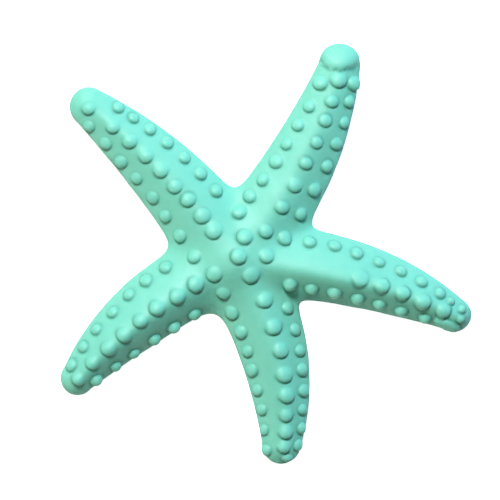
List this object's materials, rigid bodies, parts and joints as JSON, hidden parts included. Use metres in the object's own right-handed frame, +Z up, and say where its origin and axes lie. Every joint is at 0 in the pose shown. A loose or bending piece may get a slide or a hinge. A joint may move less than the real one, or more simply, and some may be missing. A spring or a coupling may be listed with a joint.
{
  "type": "starfish sand mould",
  "caption": "Open-backed moulded starfish shell with five bent, ridged arms and rows of domed bumps, for shaping wet sand.",
  "frame": {"origin": "under the middle of the box, on the plane of the rim", "axes": "+Z up out of the bumpy side, +X to the picture's right, +Y to the picture's top"},
  "size_m": [0.1374, 0.1408, 0.0143],
  "materials": {
    "shell_plastic": "satin"
  },
  "bodies": {
    "root": {"starfish_shell": "shell_plastic"}
  },
  "joints": []
}
